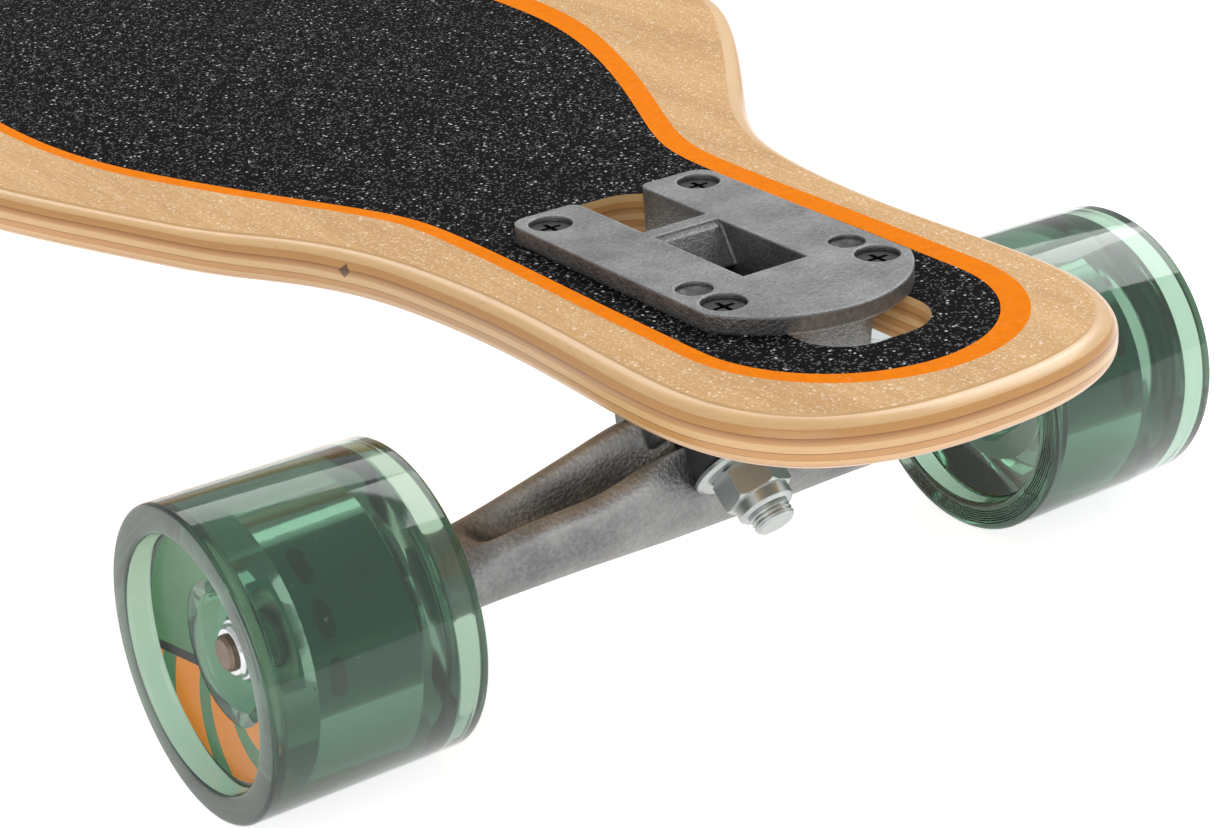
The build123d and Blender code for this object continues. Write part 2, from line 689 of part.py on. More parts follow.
def tyre_face(sign, core_end):
    """(radius, height) corners of one side of the tyre, from the core out to the tread."""
    face = WHEEL_WIDTH / 2
    dish = face - LIP_WALL_DEPTH
    hub = dish - DISH_DEPTH
    corners = [
        (HUB_MOUTH_RADIUS, core_end),
        (HUB_MOUTH_RADIUS, sign * (hub - 2.0)),
        (HUB_MOUTH_RADIUS + 1.2, sign * (hub - 0.6)),
        (DISH_RADIUS, sign * hub),
        (LIP_RADIUS - 0.8, sign * dish),
        (LIP_RADIUS - 0.4, sign * (dish + 0.6)),
        (LIP_RADIUS, sign * (face - LIP_ROUND)),
        (LIP_RADIUS + LIP_ROUND, sign * face),
        (WHEEL_RADIUS - LIP_ROUND, sign * face),
        (WHEEL_RADIUS - LIP_ROUND * 0.3, sign * (face - LIP_ROUND * 0.3)),
        (WHEEL_RADIUS, sign * (face - LIP_ROUND)),
    ]
    return corners


def tyre():
    """Cast urethane tyre, bonded round the core."""
    inside = [(HUB_MOUTH_RADIUS, stack_high), (CORE_RADIUS, stack_high)]
    inside += [(CORE_RADIUS, stack_low), (HUB_MOUTH_RADIUS, stack_low)]
    outer = tyre_face(1, stack_high)
    inner = tyre_face(-1, stack_low)
    profile = inner + outer[::-1] + inside[1:3]
    return turned(profile)


def core():
    """Moulded hub: two bearing seats, a shoulder between them and a ring of oval pockets."""
    step = BEARING_RADIUS - CORE_BORE_STEP
    low_step = stack_low + BEARING_WIDTH
    high_step = stack_high - BEARING_WIDTH
    hub = turned([
        (BEARING_RADIUS, stack_low),
        (CORE_RADIUS, stack_low),
        (CORE_RADIUS, stack_high),
        (BEARING_RADIUS, stack_high),
        (BEARING_RADIUS, high_step),
        (step, high_step),
        (step, low_step),
        (BEARING_RADIUS, low_step),
    ])
    pocket = extrude(SlotOverall(CORE_POCKET_LENGTH, CORE_POCKET_WIDTH), CORE_POCKET_DEPTH)
    height = stack_high - CORE_POCKET_WIDTH * 1.3
    for index in range(CORE_POCKETS):
        turn = index * 360 / CORE_POCKETS
        side = Rot(0, 0, turn) * Pos(CORE_RADIUS - CORE_POCKET_DEPTH, 0, height)
        hub -= side * Rot(0, 90, 0) * Rot(0, 0, 90) * pocket
    return hub


def in_both_bearings(shape):
    """The same shape in both bearings of a wheel, given about a bearing's lower face."""
    return [Pos(0, 0, low) * shape for low in bearing_lows]


def race_groove():
    """Ring-shaped channel that the balls run in."""
    return Pos(0, 0, BEARING_WIDTH / 2) * Torus(BALL_PITCH_RADIUS, BALL_RADIUS + RACE_CLEARANCE)


def bearing_outer():
    """Outer ring, and the two shields pressed into it."""
    ring = tube(BEARING_RADIUS, OUTER_RING_BORE, 0, BEARING_WIDTH) - race_groove()
    gap = INNER_RING_RADIUS + 0.3
    lower = tube(OUTER_RING_BORE, gap, 0.2, 0.2 + SHIELD_THICKNESS)
    upper_low = BEARING_WIDTH - 0.2 - SHIELD_THICKNESS
    upper = tube(OUTER_RING_BORE, gap, upper_low, upper_low + SHIELD_THICKNESS)
    return [ring, lower, upper]


def bearing_inner():
    return tube(INNER_RING_RADIUS, AXLE_RADIUS, 0, BEARING_WIDTH) - race_groove()


def bearing_balls():
    """Seven balls and the crown cage that spaces them."""
    middle = BEARING_WIDTH / 2
    cage = tube(BALL_PITCH_RADIUS + 0.8, BALL_PITCH_RADIUS - 0.8, middle + 0.3, middle + 2.5)
    balls = []
    for index in range(BALL_COUNT):
        place = Rot(0, 0, index * 360 / BALL_COUNT) * Pos(BALL_PITCH_RADIUS, 0, middle)
        balls.append(place * Sphere(BALL_RADIUS))
        cage -= place * Sphere(BALL_RADIUS + RACE_CLEARANCE)
    return balls + [cage]


def wheel_parts():
    """Every piece on one end of an axle, about the middle of the wheel."""
    spacer_low = stack_low + BEARING_WIDTH
    washer = tube(SPEED_WASHER_RADIUS, AXLE_RADIUS, 0, SPEED_WASHER_THICKNESS)
    nut_low = stack_high + SPEED_WASHER_THICKNESS
    hex_height = AXLE_NUT_HEIGHT * 0.7
    nut = lock_nut(
        AXLE_NUT_FLATS, AXLE_RADIUS, hex_height,
        AXLE_NUT_FLATS / 2 - 0.5, AXLE_NUT_HEIGHT - hex_height,
    )
    outers = [Pos(0, 0, low) * piece for low in bearing_lows for piece in bearing_outer()]
    balls = [Pos(0, 0, low) * piece for low in bearing_lows for piece in bearing_balls()]
    return {
        "tyre": tyre(),
        "core": core(),
        "bearing_outer_rings": group(outers),
        "bearing_balls": group(balls),
        "bearing_inner_rings": group(in_both_bearings(bearing_inner())),
        "spacer": tube(AXLE_RADIUS + SPACER_WALL, AXLE_RADIUS, spacer_low, spacer_low + SPACER_LENGTH),
        "speed_washers": group([
            Pos(0, 0, stack_low - SPEED_WASHER_THICKNESS) * washer,
            Pos(0, 0, stack_high) * washer,
        ]),
        "axle_nut": Pos(0, 0, nut_low) * nut,
    }


# ---------------------------------------------------------------- whole board
os.makedirs("parts", exist_ok=True)

for node, shape in deck_parts().items():
    write(node, shape)

truck = truck_parts()
wheel = wheel_parts()
for end, sign in (("front", 1), ("rear", -1)):
    truck_place = Location((sign * axle_x, 0, axle_z), (0, 0, 0 if sign > 0 else 180))
    for node, shape in truck.items():
        write(end + "_" + node, truck_place * shape)
    for side, across in (("left", 1), ("right", -1)):
        wheel_place = Location((sign * axle_x, across * wheel_mid_y, axle_z), (-90 * across, 0, 0))
        for node, shape in wheel.items():
            write(end + "_" + side + "_" + node, wheel_place * shape)
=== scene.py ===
import math
import bmesh
import bpy
import numpy as np
from mathutils import Matrix, Vector


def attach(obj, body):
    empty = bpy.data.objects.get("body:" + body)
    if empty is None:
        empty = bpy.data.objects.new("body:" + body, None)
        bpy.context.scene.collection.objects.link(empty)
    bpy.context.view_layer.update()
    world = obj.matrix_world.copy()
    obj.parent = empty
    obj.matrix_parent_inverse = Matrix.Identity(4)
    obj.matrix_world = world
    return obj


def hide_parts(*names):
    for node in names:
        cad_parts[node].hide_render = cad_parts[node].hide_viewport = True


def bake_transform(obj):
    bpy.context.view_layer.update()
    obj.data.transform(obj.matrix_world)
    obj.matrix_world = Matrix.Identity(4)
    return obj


# Looks of the drop-through longboard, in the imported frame: +X towards the front truck, +Y to
# the board's left, +Z up, origin on the floor under the middle of the deck.  Sizes are written
# in millimetres, and become metres when a mesh is made or placed.

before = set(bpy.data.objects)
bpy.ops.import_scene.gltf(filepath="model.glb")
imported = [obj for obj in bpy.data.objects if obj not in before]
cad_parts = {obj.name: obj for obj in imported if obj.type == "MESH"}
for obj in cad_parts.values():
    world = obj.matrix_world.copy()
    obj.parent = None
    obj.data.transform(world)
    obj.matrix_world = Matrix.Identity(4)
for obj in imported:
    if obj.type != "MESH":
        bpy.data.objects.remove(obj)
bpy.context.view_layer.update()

MM = 0.001

# ------------------------------------------------------------------ sizes in millimetres
TIP_X = 520.0
PATTERN_X = 424.5               # middle of the truck's bolt pattern
PATTERN_HALF_LENGTH = 31.75
PATTERN_HALF_WIDTH = 20.64
SCREW_HOLE_RADIUS = 2.75
SLOT_SHIFT = 7.75               # middle of the slot, outboard of the bolt pattern's
SLOT_HALF_LENGTH = 54.25
SLOT_HALF_WIDTH = 16.0
SLOT_CORNER = 12.0
AXLE_X = 415.9
AXLE_Z = 35.0
DECK_TOP = 93.6                 # wood, under the grit
DECK_THICKNESS = 10.5
DECK_HALF_WIDTH = 114.5
WAIST_HALF_WIDTH = 113.0
NECK_HALF_WIDTH = 54.5
CONCAVE_START = 70.0
CONCAVE_RADIUS = 60.0
CONCAVE_ANGLE = math.radians(11.0)
EDGE_ROUND = 4.4
GRIT = 0.4                      # thickness of the coat
GRIT_SLOPE = 0.25               # how far in its edge slopes up
STRIPE_WIDTH = 5.3
STRIPE_SHIFT = 1.2              # the print sits a little towards the board's left
PANEL_END_RADIUS = 34.5
PANEL_END_X = 41.8              # centre of the panel's round end, from the bolt pattern
WHEEL_Y = 105.2
STEER = math.radians(50.0)      # steering axis above the horizontal; the kingpin is square to it
THREAD_SHOWN = 3.7
THREAD_PITCH = 1.0
THREAD_TURNS = 3
THREAD_ROOT = 4.66
THREAD_CREST = 4.95
CORE_MOUTH = 12.6               # radius of the core's open ends
CORE_RADIUS = 20.05
CORE_OUTER_END = 9.85           # along the axle from the wheel's middle, outboard
CORE_INNER_END = -14.25
WHEEL_HALF_WIDTH = 25.5
LIP_RIDGES = 6                  # fine rings moulded into the wheel's inboard lip
RIDGE_START = 29.9
RIDGE_PITCH = 0.6
RIDGE_HEIGHT = 0.3
RING_X = 3.4                    # centre of the hanger's ring, from the axle
RING_Z = 23.0
BAR_DROP = 7.4                  # the print's black bar, below the wheel's centre
ENDS = (("front", 1), ("rear", -1))
SIDES = (("left", 1), ("right", -1))
FLOOR_HALF = 6.0                # metres
CAMERA_AT = (0.8903, -0.3447, 0.3140)
CAMERA_BACK = (0.757, -0.512, 0.405)
CAMERA_RIGHT = (0.577, 0.8145, -0.049)
CAMERA_LENS = 83.85


# ------------------------------------------------------------------ mesh helpers
def add_mesh(name, points, faces, material, smooth_angle=40.0, face_materials=None):
    """Mesh object from points in millimetres."""
    mesh = bpy.data.meshes.new(name)
    mesh.from_pydata([tuple(MM * float(c) for c in p) for p in points], [], faces)
    for item in material if isinstance(material, (list, tuple)) else [material]:
        mesh.materials.append(item)
    if face_materials is not None:
        mesh.polygons.foreach_set("material_index", face_materials)
    mesh.polygons.foreach_set("use_smooth", [True] * len(mesh.polygons))
    mesh.set_sharp_from_angle(angle=math.radians(smooth_angle))
    mesh.update()
    made = bpy.data.objects.new(name, mesh)
    bpy.context.scene.collection.objects.link(made)
    return made


def weld(obj, distance=0.02):
    """Joins points that coincide and turns the faces outward."""
    work = bmesh.new()
    work.from_mesh(obj.data)
    bmesh.ops.remove_doubles(work, verts=work.verts, dist=distance * MM)
    bmesh.ops.recalc_face_normals(work, faces=work.faces)
    work.to_mesh(obj.data)
    work.free()


def grid_faces(rows, columns, closed_rows=False, closed_columns=True):
    """Quads of a grid of points, numbered row by row."""
    faces = []
    for i in range(rows if closed_rows else rows - 1):
        for j in range(columns if closed_columns else columns - 1):
            i2 = (i + 1) % rows
            j2 = (j + 1) % columns
            faces.append((i * columns + j, i * columns + j2, i2 * columns + j2, i2 * columns + j))
    return faces


def lathe(name, profile, material, segments=96, closed=True, smooth_angle=32.0):
    """Turned shape about local Y from (radius, height) corners in millimetres."""
    points = []
    for radius, height in profile:
        for k in range(segments):
            a = 2 * math.pi * k / segments
            points.append((radius * math.cos(a), height, radius * math.sin(a)))
    faces = grid_faces(len(profile), segments, closed_rows=closed)
    return add_mesh(name, points, faces, material, smooth_angle)


def arc(centre, radius, start, end, steps=6):
    """Points of a circular arc; angles in degrees."""
    angles = np.radians(np.linspace(start, end, steps + 1))
    return [(centre[0] + radius * math.cos(a), centre[1] + radius * math.sin(a)) for a in angles]


def clamped_curve(points, leaving, arriving, count):
    """Smooth curve through the points with its direction given at both ends."""
    p = np.array(points, float)
    t = np.r_[0, np.cumsum(np.linalg.norm(np.diff(p, axis=0), axis=1))]
    h = np.diff(t)
    n = len(p)
    matrix = np.eye(n)
    right = np.zeros((n, 2))
    right[0] = leaving
    right[-1] = arriving
    for i in range(1, n - 1):
        matrix[i, i - 1:i + 2] = (h[i], 2 * (h[i - 1] + h[i]), h[i - 1])
        right[i] = 3 * (h[i] * (p[i] - p[i - 1]) / h[i - 1] + h[i - 1] * (p[i + 1] - p[i]) / h[i])
    slope = np.linalg.solve(matrix, right)
    s = np.linspace(0, t[-1], count)
    k = np.clip(np.searchsorted(t, s, side="right") - 1, 0, n - 2)
    u = ((s - t[k]) / h[k])[:, None]
    step = h[k][:, None]
    start = (2 * u**3 - 3 * u**2 + 1) * p[k] + (u**3 - 2 * u**2 + u) * step * slope[k]
    return start + (3 * u**2 - 2 * u**3) * p[k + 1] + (u**3 - u**2) * step * slope[k + 1]


def place(obj, x, y, z, turn=0.0):
    """Stands an object in the row frame, turned about +Z."""
    obj.matrix_world = Matrix.Translation(Vector((x, y, z)) * MM) @ Matrix.Rotation(turn, 4, "Z")
    return obj


# ------------------------------------------------------------------ material helpers
class Look:
    """A node material under construction."""

    def __init__(self, name, **settings):
        self.material = bpy.data.materials.new(name)
        self.material.use_nodes = True
        self.tree = self.material.node_tree
        self.shader = self.tree.nodes["Principled BSDF"]
        self.output = self.tree.nodes["Material Output"]
        for key, value in settings.items():
            self.shader.inputs[key.replace("_", " ")].default_value = value

    def node(self, kind, inputs=(), **properties):
        made = self.tree.nodes.new(kind)
        for key, value in properties.items():
            setattr(made, key, value)
        for key, value in dict(inputs).items():
            self.feed(made.inputs[key], value)
        return made

    def feed(self, socket, value):
        if isinstance(value, bpy.types.NodeSocket):
            self.tree.links.new(value, socket)
        else:
            socket.default_value = value

    def set(self, key, value):
        self.feed(self.shader.inputs[key], value)

    def math(self, operation, a, b=0.0, clamp=False):
        made = self.node("ShaderNodeMath", {0: a, 1: b}, operation=operation, use_clamp=clamp)
        return made.outputs[0]

    def place(self):
        return self.node("ShaderNodeTexCoord").outputs["Object"]

    def axes(self):
        return self.node("ShaderNodeSeparateXYZ", {0: self.place()}).outputs

    def stretched(self, scale):
        return self.node(
            "ShaderNodeMapping", {"Vector": self.place(), "Scale": scale}
        ).outputs[0]

    def noise(self, scale, detail=3.0, stretch=(1, 1, 1)):
        made = self.node("ShaderNodeTexNoise", {
            "Vector": self.stretched(stretch), "Scale": scale, "Detail": detail, "Roughness": 0.55,
        })
        return made.outputs["Fac"]

    def cells(self, scale):
        return self.node("ShaderNodeTexVoronoi", {"Vector": self.place(), "Scale": scale}).outputs

    def channel(self, colour, index):
        return self.node("ShaderNodeSeparateColor", {0: colour}).outputs[index]

    def ramp(self, factor, stops):
        made = self.node("ShaderNodeValToRGB", {0: factor})
        ramp = made.color_ramp
        while len(ramp.elements) < len(stops):
            ramp.elements.new(0.5)
        for element, (position, colour) in zip(ramp.elements, stops):
            element.position = position
            element.color = colour
        return made.outputs[0]

    def mix(self, factor, a, b, blend="MIX"):
        made = self.node("ShaderNodeMixRGB", {0: factor, 1: a, 2: b}, blend_type=blend)
        return made.outputs[0]

    def bump(self, height, strength, distance, normal=None):
        inputs = {"Height": height, "Strength": strength, "Distance": distance}
        if normal is not None:
            inputs["Normal"] = normal
        return self.node("ShaderNodeBump", inputs).outputs[0]

    # The edge mask serves to paint highlights along edges.
    def soft_normal_and_highlight_edge(self, radius):
        """(softened normal, 1 near an edge and 0 away from it)."""
        soft = self.node("ShaderNodeBevel", {"Radius": radius}, samples=4).outputs[0]
        plain = self.node("ShaderNodeNewGeometry").outputs["Normal"]
        meet = self.node("ShaderNodeVectorMath", {0: soft, 1: plain}, operation="DOT_PRODUCT")
        edge = self.math("SUBTRACT", 1.0, meet.outputs["Value"])
        return soft, self.math("MULTIPLY", edge, 6.0, clamp=True)


def shade(colour, share):
    """A darker copy of a colour."""
    return tuple(share * channel for channel in colour[:3]) + (1.0,)


def rgb(red, green, blue):
    """Linear colour from the usual 0-255 values."""
    def linear(value):
        value /= 255.0
        return value / 12.92 if value <= 0.04045 else ((value + 0.055) / 1.055) ** 2.4
    return (linear(red), linear(green), linear(blue), 1.0)


# ------------------------------------------------------------------ deck materials
def grit_finish(look, colour, roughness, sparkle, speck_colour=(1, 1, 1, 1), gloss=0.2, fine_glint=0.22):
    """Clear grit over a colour: fine bumps, and scattered grains with glints painted into the colour.

    sparkle is the strength of the painted glints on the large grains, and the last argument that of the
    painted glints on the small grains.
    """
    cell = look.cells(1150.0)
    fine = look.cells(2300.0)
    grain = look.channel(cell["Color"], 0)
    other = look.channel(fine["Color"], 1)
    near = look.math("LESS_THAN", cell["Distance"], 0.42)
    bright = look.math("MULTIPLY", look.math("GREATER_THAN", grain, 0.955), near)
    small = look.math("MULTIPLY", look.math("GREATER_THAN", other, 0.88), fine_glint)
    # Painted glints: the grains are made lighter in colour, and smoother, where they would catch the
    # light.
    speck = look.math("MULTIPLY", look.math("MAXIMUM", bright, small), sparkle, clamp=True)
    look.set("Base Color", look.mix(speck, colour, speck_colour))
    look.set("Roughness", look.math("SUBTRACT", roughness, look.math("MULTIPLY", speck, 0.3)))
    height = look.math("ADD", cell["Distance"], look.math("MULTIPLY", fine["Distance"], 0.6))
    look.set("Normal", look.bump(height, 0.35, 0.0003))
    look.set("Specular IOR Level", gloss)


def maple(look, light=rgb(214, 170, 114), dark=rgb(188, 144, 92)):
    """Straight-grained pale veneer, the grain along the board."""
    broad = look.noise(9.0, 3.0, (1.0, 9.0, 9.0))
    fine = look.noise(60.0, 4.0, (1.0, 22.0, 22.0))
    grain = look.math("ADD", look.math("MULTIPLY", broad, 0.55), look.math("MULTIPLY", fine, 0.45))
    return look.ramp(grain, [(0.36, dark), (0.62, light)])


def grit_over_wood():
    look = Look("grit_over_wood")
    grit_finish(look, maple(look), 0.5, 0.6, rgb(255, 240, 214), fine_glint=0.55)
    return look.material


def grit_over_print(name, colour, sparkle):
    look = Look(name)
    tone = look.mix(look.math("MULTIPLY", look.noise(400.0), 0.25), colour, (0.0, 0.0, 0.0, 1.0))
    grit_finish(look, tone, 0.85, sparkle, gloss=0.05)
    return look.material


def ply_edge():
    """The rounded edge: each veneer shows as a band, by its depth under the deck's top."""
    look = Look("ply_edge", Roughness=0.34)
    axes = look.axes()
    from_start = look.math("SUBTRACT", look.math("ABSOLUTE", axes[1]), CONCAVE_START * MM)
    out = look.math("MAXIMUM", from_start, 0.0)
    bend = CONCAVE_RADIUS * MM * math.sin(CONCAVE_ANGLE)
    inner = look.math("MINIMUM", out, bend)
    square = look.math("SUBTRACT", (CONCAVE_RADIUS * MM) ** 2, look.math("MULTIPLY", inner, inner))
    curve = look.math("SUBTRACT", CONCAVE_RADIUS * MM, look.math("SQRT", square))
    past_bend = look.math("MAXIMUM", look.math("SUBTRACT", out, bend), 0.0)
    straight = look.math("MULTIPLY", past_bend, math.tan(CONCAVE_ANGLE))
    top = look.math("ADD", look.math("ADD", curve, straight), DECK_TOP * MM)
    depth = look.math("SUBTRACT", top, axes[2])
    waver = look.math("MULTIPLY", look.math("SUBTRACT", look.noise(26.0, 2.0), 0.5), 0.0007)
    share = look.math("DIVIDE", look.math("ADD", depth, waver), DECK_THICKNESS * MM)
    cream = rgb(222, 182, 128)
    tan = rgb(204, 156, 100)
    honey = rgb(200, 148, 88)
    brown = rgb(172, 120, 72)
    line = rgb(138, 90, 50)
    bands = look.ramp(share, [
        (0.000, cream), (0.128, cream), (0.142, honey), (0.272, honey), (0.285, line),
        (0.300, brown), (0.415, tan), (0.430, cream), (0.560, cream), (0.572, line),
        (0.590, honey), (0.705, honey), (0.716, brown), (0.735, cream), (0.850, tan),
        (0.862, line), (0.880, tan), (1.000, cream),
    ])
    streak = look.noise(120.0, 4.0, (1.0, 1.0, 14.0))
    pit = look.math("GREATER_THAN", look.noise(900.0, 2.0, (1, 1, 2.0)), 0.66)
    pores = look.math("MULTIPLY", pit, 0.22)
    toned = look.mix(look.math("MULTIPLY", streak, 0.28), bands, rgb(150, 98, 56))
    knot_x = look.math("ABSOLUTE", look.math("SUBTRACT", axes[0], (PATTERN_X - 56.0) * MM))
    knot_depth = look.math("ABSOLUTE", look.math("SUBTRACT", depth, 3.4 * MM))
    diamond = look.math("LESS_THAN", look.math("ADD", knot_x, knot_depth), 1.6 * MM)
    knot = look.math("MULTIPLY", diamond, look.math("LESS_THAN", axes[1], 0.0))
    toned = look.mix(pores, toned, brown)
    look.set("Base Color", look.mix(look.math("MULTIPLY", knot, 0.8), toned, rgb(60, 38, 22)))
    look.set("Coat Weight", 0.35)
    look.set("Coat Roughness", 0.18)
    look.set("Normal", look.bump(streak, 0.12, 0.0003))
    return look.material


def underside():
    look = Look("underside", Roughness=0.38, Coat_Weight=0.3)
    look.set("Base Color", maple(look, rgb(214, 178, 132), rgb(178, 138, 94)))
    look.set("Normal", look.bump(look.noise(60.0, 4.0, (1, 22, 22)), 0.1, 0.0003))
    return look.material


# ------------------------------------------------------------------ metal and plastic materials
def cast_metal(name, light, dark, roughness, grain, edge_highlight=0.5, relief_light_and_shade=0.0):
    """Raw casting: blotchy grey, a fine pitted skin and painted highlights along its edges.

    The last argument paints highlights on what stands proud and shade in what lies deep.
    """
    look = Look(name, Metallic=0.86)
    # The edge mask sets where highlights are painted along the casting's edges.
    soft, edge = look.soft_normal_and_highlight_edge(0.0009)
    broad = look.noise(70.0, 4.0)
    fine = look.noise(900.0, 3.0)
    pits = look.cells(grain)["Distance"]
    tone = look.ramp(look.math("ADD", look.math("MULTIPLY", broad, 0.6),
                               look.math("MULTIPLY", fine, 0.4)), [(0.38, dark), (0.62, light)])
    # Curvature sets painted shade in the hollows and painted highlights on the ridges.
    bend = look.math("SUBTRACT", look.node("ShaderNodeNewGeometry").outputs["Pointiness"], 0.5)
    hollow_shade = look.math("MULTIPLY", bend, -9.0 * relief_light_and_shade, clamp=True)
    proud_highlight = look.math("MULTIPLY", bend, 9.0 * relief_light_and_shade, clamp=True)
    # Painted shade: the hollows are darkened towards near black.
    tone = look.mix(look.math("MULTIPLY", hollow_shade, 0.6), tone, rgb(44, 44, 46))
    # Painted highlights on the edges and on what stands proud.
    painted_highlight = look.math("MAXIMUM", look.math("MULTIPLY", edge, edge_highlight), look.math("MULTIPLY", proud_highlight, 0.7))
    look.set("Base Color", look.mix(painted_highlight, tone, rgb(226, 226, 224)))
    look.set("Roughness", look.math("ADD", roughness, look.math("MULTIPLY", fine, 0.18)))
    height = look.math("ADD", look.math("MULTIPLY", fine, 0.6), look.math("MULTIPLY", pits, 0.5))
    look.set("Normal", look.bump(height, 0.42, 0.0005, soft))
    return look.material


def machined(name, colour, roughness, metallic=1.0, ripple=0.05):
    look = Look(name, Metallic=metallic)
    soft, _ = look.soft_normal_and_highlight_edge(0.0004)
    tone = look.noise(500.0, 3.0)
    stain = look.math("MULTIPLY", tone, 0.35)
    look.set("Base Color", look.mix(stain, colour, shade(colour, 0.6)))
    look.set("Roughness", look.math("ADD", roughness, look.math("MULTIPLY", tone, 0.15)))
    look.set("Normal", look.bump(tone, ripple, 0.0003, soft))
    return look.material


def rubber(name, colour):
    look = Look(name, Roughness=0.5)
    look.set("Base Color", look.mix(look.noise(300.0), colour, shade(colour, 0.5)))
    look.set("Normal", look.bump(look.noise(700.0), 0.15, 0.0002))
    return look.material


def hub_plastic():
    look = Look("hub_plastic", Roughness=0.3)
    look.set("Base Color", look.mix(look.noise(90.0), rgb(24, 176, 152), rgb(12, 140, 124)))
    look.set("Normal", look.bump(look.noise(400.0), 0.06, 0.0003))
    return look.material


def wheel_urethane():
    """Clear smoky green urethane, tinted through its depth."""
    look = Look("wheel_urethane", IOR=1.5)
    look.set("Transmission Weight", 0.96)
    look.set("Roughness", look.math("MULTIPLY", look.noise(160.0), 0.12))
    look.set("Base Color", look.mix(look.noise(30.0), rgb(196, 220, 202), rgb(176, 206, 186)))
    look.set("Normal", look.bump(look.noise(110.0, 2.0), 0.05, 0.0006))
    absorb = look.node("ShaderNodeVolumeAbsorption", {
        "Color": rgb(90, 160, 134), "Density": 50.0,
    })
    look.tree.links.new(absorb.outputs[0], look.output.inputs["Volume"])
    return look.material


def printed_ring():
    """Generic ring print: green above, orange below with green curved stripes and a black bar."""
    look = Look("printed_ring", Roughness=0.42)
    axes = look.axes()
    up = look.math("ADD", axes[2], BAR_DROP * MM)
    angle = look.math("ARCTAN2", axes[2], axes[0])
    radius = look.math("SQRT", look.math("ADD", look.math("MULTIPLY", axes[0], axes[0]),
                                         look.math("MULTIPLY", axes[2], axes[2])))
    green = look.mix(look.noise(250.0), rgb(74, 122, 80), rgb(60, 104, 68))
    orange = look.mix(look.noise(250.0), rgb(214, 130, 8), rgb(200, 116, 4))
    below = look.math("LESS_THAN", up, 0.0)
    sweep = look.math("ADD", look.math("MULTIPLY", angle, 6.5), look.math("MULTIPLY", radius, 420.0))
    stripe = look.math("GREATER_THAN", look.math("SINE", sweep), 0.5)
    striped = look.math("MULTIPLY", stripe, look.math("GREATER_THAN", angle, -2.3))
    lower = look.mix(striped, orange, green)
    tone = look.mix(below, green, lower)
    bar = look.math("LESS_THAN", look.math("ABSOLUTE", up), 1.1 * MM)
    look.set("Base Color", look.mix(bar, tone, rgb(16, 16, 16)))
    look.set("Coat Weight", 0.2)
    return look.material


def pale_floor():
    look = Look("pale_floor", Roughness=0.95, Specular_IOR_Level=0.0)
    look.set("Base Color", look.mix(look.noise(3.0), rgb(208, 208, 208), rgb(204, 204, 206)))
    look.set("Emission Color", (1.0, 1.0, 1.0, 1.0))
    look.set("Emission Strength", 0.80)
    return look.material


GRIT_WOOD = grit_over_wood()
GRIT_ORANGE = grit_over_print("grit_over_orange", rgb(246, 132, 8), 0.06)
GRIT_BLACK = grit_over_print("grit_over_black", rgb(14, 14, 16), 0.5)
PLY_EDGE = ply_edge()
UNDERSIDE = underside()
BASE_CAST = cast_metal("baseplate_casting", rgb(134, 135, 134), rgb(98, 99, 99), 0.40, 1500.0, 0.3)
HANGER_CAST = cast_metal("hanger_casting", rgb(150, 151, 150), rgb(112, 113, 114), 0.36, 1100.0, 0.35, 1.0)
ZINC = machined("zinc_plate", rgb(188, 194, 192), 0.26, ripple=0.12)
BLACK_STEEL = machined("black_steel", rgb(38, 38, 40), 0.3, 0.8)
AXLE_STEEL = machined("axle_steel", rgb(134, 116, 104), 0.34, ripple=0.15)
BRIGHT = machined("bright_nut", rgb(226, 228, 230), 0.08)
SHIELD = machined("bearing_shield", rgb(176, 190, 170), 0.24)
BUSHING = rubber("bushing_urethane", rgb(34, 34, 36))
HUB = hub_plastic()
URETHANE = wheel_urethane()
RING_PRINT = printed_ring()


# ------------------------------------------------------------------ deck
def rise(y):
    """Height of the wood's top surface at a distance from the centre line."""
    out = np.maximum(np.abs(y) - CONCAVE_START, 0.0)
    bend = CONCAVE_RADIUS * math.sin(CONCAVE_ANGLE)
    inner = np.minimum(out, bend)
    curve = CONCAVE_RADIUS - np.sqrt(CONCAVE_RADIUS**2 - inner**2)
    return DECK_TOP + curve + np.maximum(out - bend, 0.0) * math.tan(CONCAVE_ANGLE)


def deck_loop():
    """Closed outline of the deck, counter-clockwise from above, and its inward directions."""
    flank = DECK_HALF_WIDTH - NECK_HALF_WIDTH
    nose_points = [
        (TIP_X, 0), (TIP_X - 3, 24), (TIP_X - 13, 42), (TIP_X - 31.5, NECK_HALF_WIDTH - 2.2),
        (TIP_X - 53.5, NECK_HALF_WIDTH), (TIP_X - 90.5, NECK_HALF_WIDTH - 1),
        (PATTERN_X - 30, NECK_HALF_WIDTH + 0.8),
        (PATTERN_X - 60, NECK_HALF_WIDTH + 0.125 * flank),
        (PATTERN_X - 95, NECK_HALF_WIDTH + 0.475 * flank),
        (PATTERN_X - 125, NECK_HALF_WIDTH + 0.81 * flank),
        (PATTERN_X - 156, DECK_HALF_WIDTH),
    ]
    nose = clamped_curve(nose_points, (0, 1), (-1, 0), 130)
    middle = clamped_curve([nose_points[-1], (0, WAIST_HALF_WIDTH)], (-1, 0), (-1, 0), 40)
    quarter = np.vstack([nose, middle[1:]])
    left = np.vstack([quarter, (quarter * (-1, 1))[::-1][1:]])
    loop = np.vstack([left, (left * (1, -1))[::-1][1:-1]])
    along = np.roll(loop, -1, axis=0) - np.roll(loop, 1, axis=0)
    along /= np.linalg.norm(along, axis=1)[:, None]
    return loop, np.column_stack([-along[:, 1], along[:, 0]])


